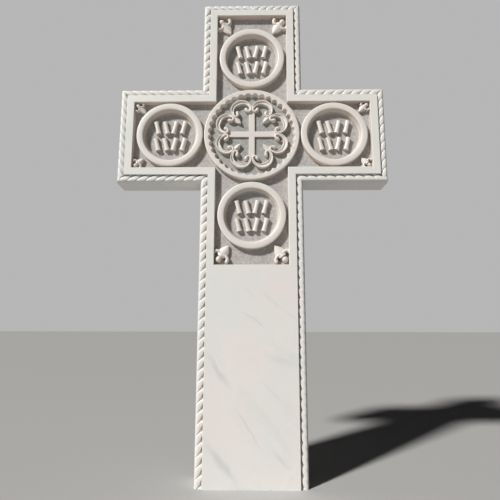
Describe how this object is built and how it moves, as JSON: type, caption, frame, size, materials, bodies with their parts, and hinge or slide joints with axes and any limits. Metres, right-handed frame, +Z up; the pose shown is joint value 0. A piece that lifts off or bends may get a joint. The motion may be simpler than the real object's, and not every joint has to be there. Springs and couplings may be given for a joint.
{
  "type": "marble grave cross",
  "caption": "Flat Latin cross of carved marble that stands on its square-cut foot, with a rope edge and a sunken panel of roundels, scrolls and lilies.",
  "frame": {"origin": "middle of the flat foot, on the plane it stands on", "axes": "+Z up towards the head, -Y out of the carved face, +X along the arms to the right as the carved face is read"},
  "size_m": [0.6752, 0.076, 1.1991],
  "materials": {
    "white_marble": "honed white marble with faint grey veins, tooled in the sunken panel"
  },
  "bodies": {
    "root": {"marble_cross": "white_marble"}
  },
  "joints": []
}
